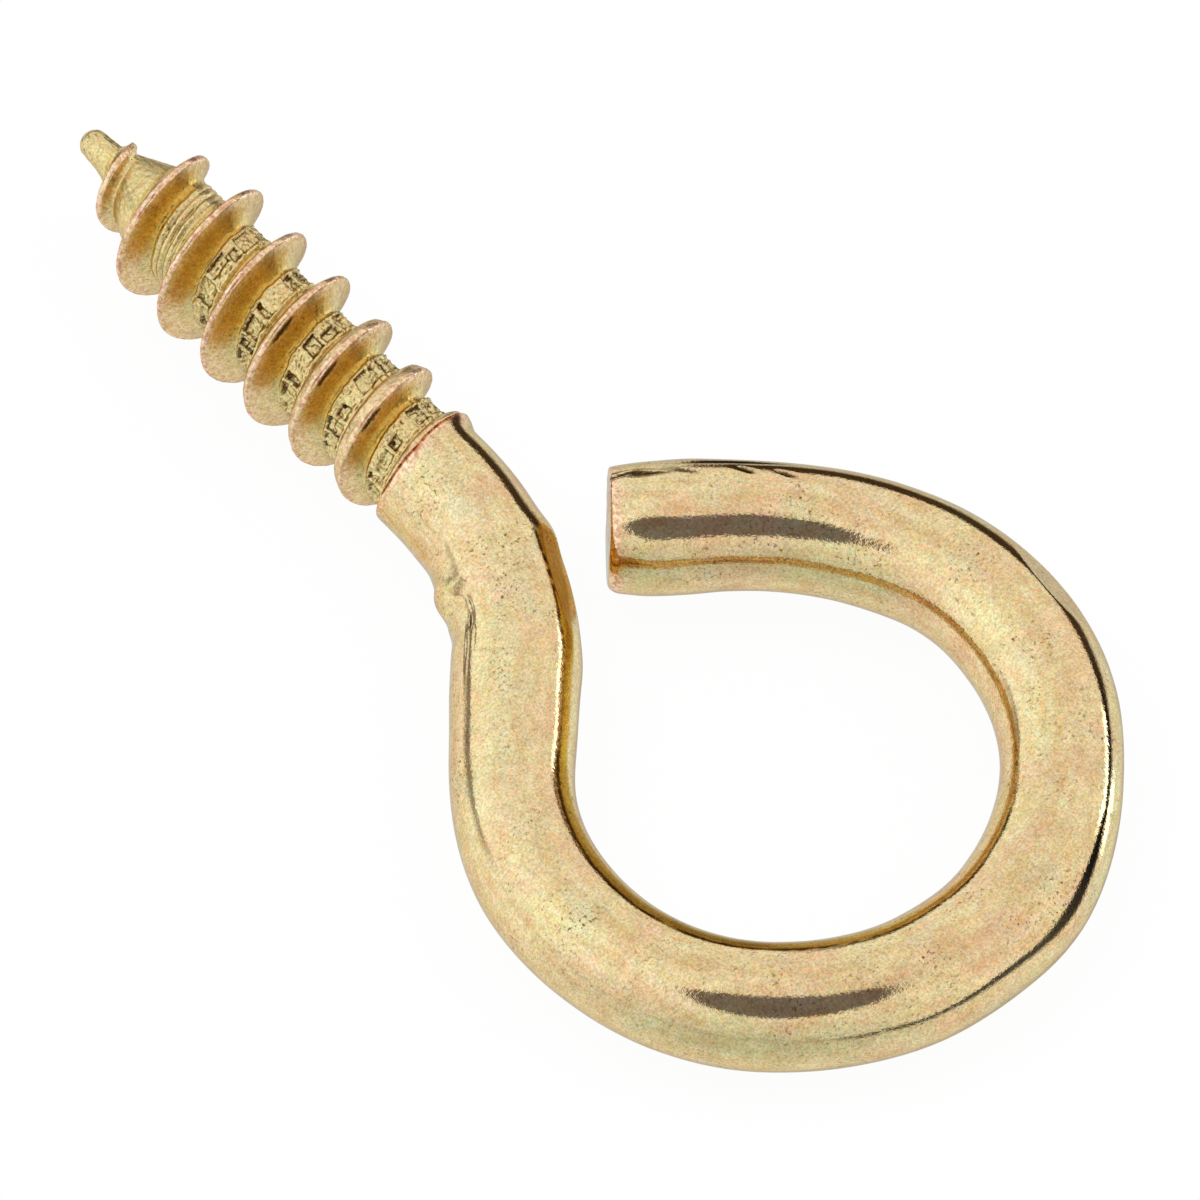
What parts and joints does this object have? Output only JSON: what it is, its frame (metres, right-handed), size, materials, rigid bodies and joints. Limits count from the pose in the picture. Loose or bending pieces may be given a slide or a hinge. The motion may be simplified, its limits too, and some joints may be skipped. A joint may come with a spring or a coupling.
{
  "type": "screw eye",
  "caption": "Open screw eye bent from one length of round wire, with a kinked leg, a coarse rolled wood thread and a gimlet point.",
  "frame": {"origin": "centre of the eye, in the middle plane of the wire", "axes": "+Y along the shank towards the point, +Z along the axis of the eye, +X towards the free end of the wire"},
  "size_m": [0.0178, 0.0353, 0.0044],
  "materials": {
    "yellow_plated_steel": "bright pale yellow plating on drawn steel wire, glossy on the wire and darker in the thread"
  },
  "bodies": {
    "root": {"screw_eye": "yellow_plated_steel"}
  },
  "joints": []
}
